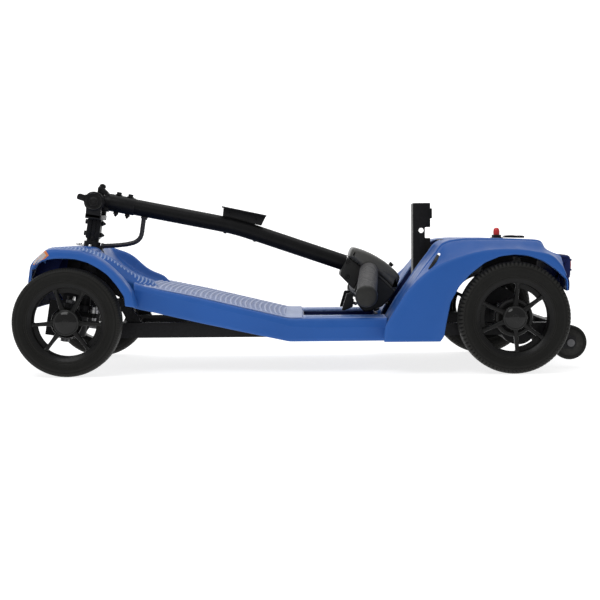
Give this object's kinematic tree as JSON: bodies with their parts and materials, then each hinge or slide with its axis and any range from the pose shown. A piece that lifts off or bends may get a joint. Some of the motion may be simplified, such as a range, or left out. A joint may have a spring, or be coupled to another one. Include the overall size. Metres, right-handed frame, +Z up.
{
  "type": "folding four-wheel electric travel scooter",
  "caption": "Electric travel scooter folded for transport: tiller lies back over a ribbed footboard, seat lifted off its post, two steered front wheels, two driven rear wheels and rollers",
  "frame": {"origin": "on the ground under the middle of the outer box", "axes": "+X towards the rear, -Y towards the rider's left, +Z up"},
  "size_m": [1.0438, 0.49, 0.351],
  "materials": {
    "frame_black": "satin black powder coat",
    "steel": "zinc plated",
    "chrome_trim": "bright",
    "housing_black": "moulded",
    "body_blue": "semi-gloss moulded",
    "navy_plastic": "dark blue moulded",
    "mat_lilac": "pale lavender-blue ribbed mat",
    "lamp_clear": "clear reflector lens",
    "lamp_red": "red lens",
    "head_grey": "satin dark grey",
    "head_dark": "dark grey moulded",
    "grip_rubber": "soft grip",
    "black_plastic": "moulded",
    "red_plastic": "bright red",
    "tyre_rubber": "charcoal solid tyre",
    "rim_black": "satin black moulded",
    "cap_gloss": "glossy black"
  },
  "bodies": {
    "chassis": {"main_frame": "frame_black", "steering_head": "frame_black", "head_bearings": "steel", "front_axle_beam": "frame_black", "chassis_bolts": "steel", "gearbox_housing": "housing_black", "drive_motor": "housing_black", "axle_housings": "frame_black", "anti_tip_arms": "frame_black", "seat_post": "frame_black", "battery_pack": "housing_black", "controller_box": "housing_black", "front_fairing": "body_blue", "column_bezel": "chrome_trim", "front_lamps": "lamp_clear", "footboard_shell": "body_blue", "floor_mat": "mat_lilac", "rear_shroud": "body_blue", "rear_bumper": "navy_plastic", "rear_lamps": "lamp_red", "deck_trim": "black_plastic"},
    "steering": {"steering_column": "frame_black", "steering_stem": "frame_black", "hinge_pin_and_bolts": "steel", "wiring_harness": "grip_rubber"},
    "tiller": {"tiller_tube": "frame_black", "tiller_hinge_block": "frame_black", "tiller_fasteners": "steel", "accessory_bracket": "frame_black", "head_clamp": "head_grey", "head_cover": "head_grey", "head_dash": "head_dark", "hand_grips": "grip_rubber", "tiller_pivot_pins": "steel"},
    "lock_lever": {"fold_lock_lever": "frame_black"},
    "throttle": {"throttle_paddles": "black_plastic"},
    "dial": {"speed_dial": "head_dark"},
    "horn": {"horn_button": "black_plastic"},
    "key_switch": {"key": "steel"},
    "tie_bar": {"tie_rod": "frame_black"},
    "freewheel": {"freewheel_lever": "red_plastic"},
    "handle": {"carry_handle": "black_plastic"},
    "left_knuckle": {"knuckle_left": "frame_black"},
    "left_front_wheel": {"front_tyre_left": "tyre_rubber", "front_rim_left": "rim_black", "front_hub_cap_left": "cap_gloss"},
    "left_rear_wheel": {"rear_tyre_left": "tyre_rubber", "rear_rim_left": "rim_black", "rear_hub_cap_left": "cap_gloss", "rear_axle_shaft_left": "steel"},
    "left_anti_tip": {"anti_tip_wheel_left": "tyre_rubber"},
    "right_knuckle": {"knuckle_right": "frame_black"},
    "right_front_wheel": {"front_tyre_right": "tyre_rubber", "front_rim_right": "rim_black", "front_hub_cap_right": "cap_gloss"},
    "right_rear_wheel": {"rear_tyre_right": "tyre_rubber", "rear_rim_right": "rim_black", "rear_hub_cap_right": "cap_gloss", "rear_axle_shaft_right": "steel"},
    "right_anti_tip": {"anti_tip_wheel_right": "tyre_rubber"}
  },
  "joints": [
    {"name": "steer", "type": "hinge", "parent": "chassis", "child": "steering", "pos_m": [-0.4318, 0, 0.0972], "axis": [0.1528, 0, 0.9883], "range_deg": [-28, 28]},
    {"name": "tiller_fold", "type": "hinge", "parent": "steering", "child": "tiller", "pos_m": [-0.4006, 0, 0.3158], "axis": [0, -1, 0], "range_deg": [0, 92.5], "deforming": ["wiring_harness"]},
    {"name": "lock_lever_turn", "type": "hinge", "parent": "tiller", "child": "lock_lever", "pos_m": [-0.3915, 0, 0.3395], "axis": [0, -1, 0], "range_deg": [0, 35], "stiffness_Nm_per_rad": 0.15, "springref_deg": -17.19},
    {"name": "throttle_turn", "type": "hinge", "parent": "tiller", "child": "throttle", "pos_m": [0.088, 0, 0.119], "axis": [0.9461, 0, -0.324], "range_deg": [-9, 9], "stiffness_Nm_per_rad": 0.6},
    {"name": "speed_dial_turn", "type": "hinge", "parent": "tiller", "child": "dial", "pos_m": [0.137, 0.024, 0.10805], "axis": [0.3821, 0, -0.9241], "range_deg": [-130, 130]},
    {"name": "key_turn", "type": "hinge", "parent": "tiller", "child": "key_switch", "pos_m": [0.156, -0.014, 0.1211], "axis": [0.7001, 0, -0.7141], "range_deg": [0, 60]},
    {"name": "horn_press", "type": "slide", "parent": "tiller", "child": "horn", "axis": [-0.3821, 0, 0.9241], "range_m": [0, 0.0015], "stiffness_N_per_m": 300, "springref_m": -0.003},
    {"name": "freewheel_tilt", "type": "hinge", "parent": "chassis", "child": "freewheel", "pos_m": [0.3635, -0.06, 0.2484], "axis": [0, 1, 0], "range_deg": [0, 35]},
    {"name": "carry_handle_lift", "type": "hinge", "parent": "chassis", "child": "handle", "pos_m": [0.3785, -0.06, 0.2435], "axis": [0, -1, 0], "range_deg": [0, 80]},
    {"name": "tie_rod_turn", "type": "hinge", "parent": "steering", "child": "tie_bar", "pos_m": [-0.38381, 0, 0.11305], "axis": [0.1528, 0, 0.9883], "range_deg": [-28, 28]},
    {"name": "left_kingpin", "type": "hinge", "parent": "chassis", "child": "left_knuckle", "pos_m": [-0.4318, -0.175, 0.0972], "axis": [0.1528, 0, 0.9883], "range_deg": [-28, 28]},
    {"name": "left_front_wheel_spin", "type": "hinge", "parent": "left_knuckle", "child": "left_front_wheel", "pos_m": [-0.4247, -0.22, 0.0972], "axis": [0, 1, 0], "continuous": true},
    {"name": "left_rear_wheel_spin", "type": "hinge", "parent": "chassis", "child": "left_rear_wheel", "pos_m": [0.3714, -0.22, 0.1], "axis": [0, 1, 0], "continuous": true},
    {"name": "left_anti_tip_spin", "type": "hinge", "parent": "chassis", "child": "left_anti_tip", "pos_m": [0.4899, -0.117, 0.0468], "axis": [0, 1, 0], "continuous": true},
    {"name": "right_kingpin", "type": "hinge", "parent": "chassis", "child": "right_knuckle", "pos_m": [-0.4318, 0.175, 0.0972], "axis": [0.1528, 0, 0.9883], "range_deg": [-28, 28]},
    {"name": "right_front_wheel_spin", "type": "hinge", "parent": "right_knuckle", "child": "right_front_wheel", "pos_m": [-0.4247, 0.22, 0.0972], "axis": [0, 1, 0], "continuous": true},
    {"name": "right_rear_wheel_spin", "type": "hinge", "parent": "chassis", "child": "right_rear_wheel", "pos_m": [0.3714, 0.22, 0.1], "axis": [0, 1, 0], "continuous": true},
    {"name": "right_anti_tip_spin", "type": "hinge", "parent": "chassis", "child": "right_anti_tip", "pos_m": [0.4899, 0.117, 0.0468], "axis": [0, 1, 0], "continuous": true}
  ],
  "couplings": [
    {"joint": "left_kingpin", "follows": "steer", "ratio": 1},
    {"joint": "right_kingpin", "follows": "steer", "ratio": 1},
    {"joint": "tie_rod_turn", "follows": "steer", "ratio": -1}
  ]
}
